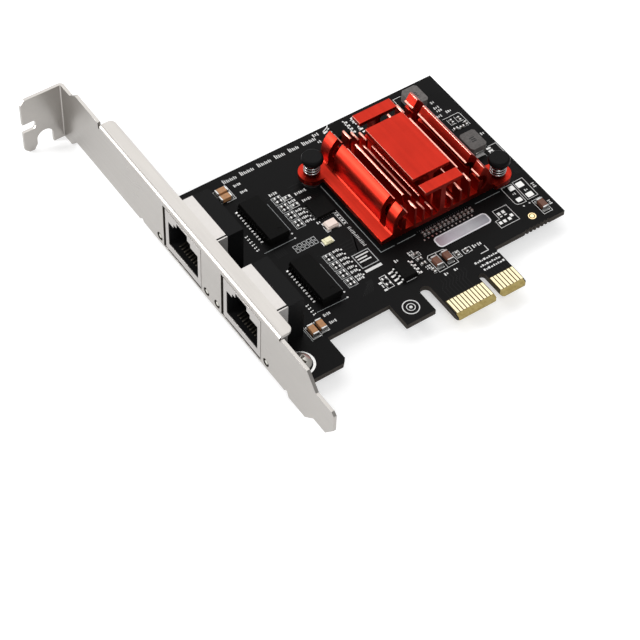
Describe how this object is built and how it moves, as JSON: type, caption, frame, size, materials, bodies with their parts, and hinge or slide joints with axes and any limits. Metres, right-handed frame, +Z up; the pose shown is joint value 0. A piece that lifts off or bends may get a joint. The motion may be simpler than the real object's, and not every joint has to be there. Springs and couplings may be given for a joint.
{
  "type": "network interface card",
  "caption": "Black network card with finned red heatsink, modular jacks, card-edge contacts and a full-height slot bracket.",
  "frame": {"origin": "centre of the bottom of the card's bounding box, the card lying with its component side up", "axes": "+X from the slot bracket towards the rear of the board, +Y from the contact edge towards the top of the bracket, +Z up from the component side"},
  "size_m": [0.0994, 0.12, 0.0205],
  "materials": {
    "board_mask": "satin solder mask over glass-fibre board",
    "gold_plate": "plated, satin",
    "bracket_steel": "nickel plated, satin",
    "screw_steel": "nickel plated",
    "shield_tin": "tin plated, satin",
    "jack_black": "moulded, semi-matt",
    "lamp_clear": "clear resin",
    "package_black": "moulded, matt",
    "lead_tin": "tin plated",
    "pad_grey": "soft pad",
    "anodised_red": "red anodised, satin",
    "nylon_black": "moulded",
    "spring_steel": "bright wire",
    "choke_grey": "pressed powder, matt",
    "ceramic_cream": "ceramic",
    "lamp_cream": "resin lens",
    "ceramic_tan": "ceramic",
    "resistor_black": "coated ceramic",
    "label_white": "printed film, left plain"
  },
  "bodies": {
    "root": {"circuit_board": "board_mask", "edge_contacts": "gold_plate", "bracket": "bracket_steel", "bracket_screws": "screw_steel", "jack_shell_a": "shield_tin", "jack_shell_b": "shield_tin", "jack_housing_a": "jack_black", "jack_housing_b": "jack_black", "jack_contacts_a": "gold_plate", "jack_contacts_b": "gold_plate", "link_lamps": "lamp_clear", "magnetics_a": "package_black", "magnetics_b": "package_black", "magnetics_leads_a": "lead_tin", "magnetics_leads_b": "lead_tin", "controller_chip": "package_black", "thermal_pad": "pad_grey", "heatsink": "anodised_red", "push_pins": "nylon_black", "push_pin_springs": "spring_steel", "power_chokes": "choke_grey", "choke_terminals": "lead_tin", "memory_chip": "package_black", "memory_chip_leads": "lead_tin", "driver_chip": "package_black", "driver_chip_leads": "lead_tin", "regulator_chip": "package_black", "crystal": "ceramic_cream", "status_lamp": "lamp_cream", "ceramic_capacitors": "ceramic_tan", "ceramic_capacitors_ends": "lead_tin", "chip_resistors": "resistor_black", "chip_resistors_ends": "lead_tin", "small_capacitors": "ceramic_tan", "small_capacitors_ends": "lead_tin", "blank_label": "label_white"}
  },
  "joints": []
}
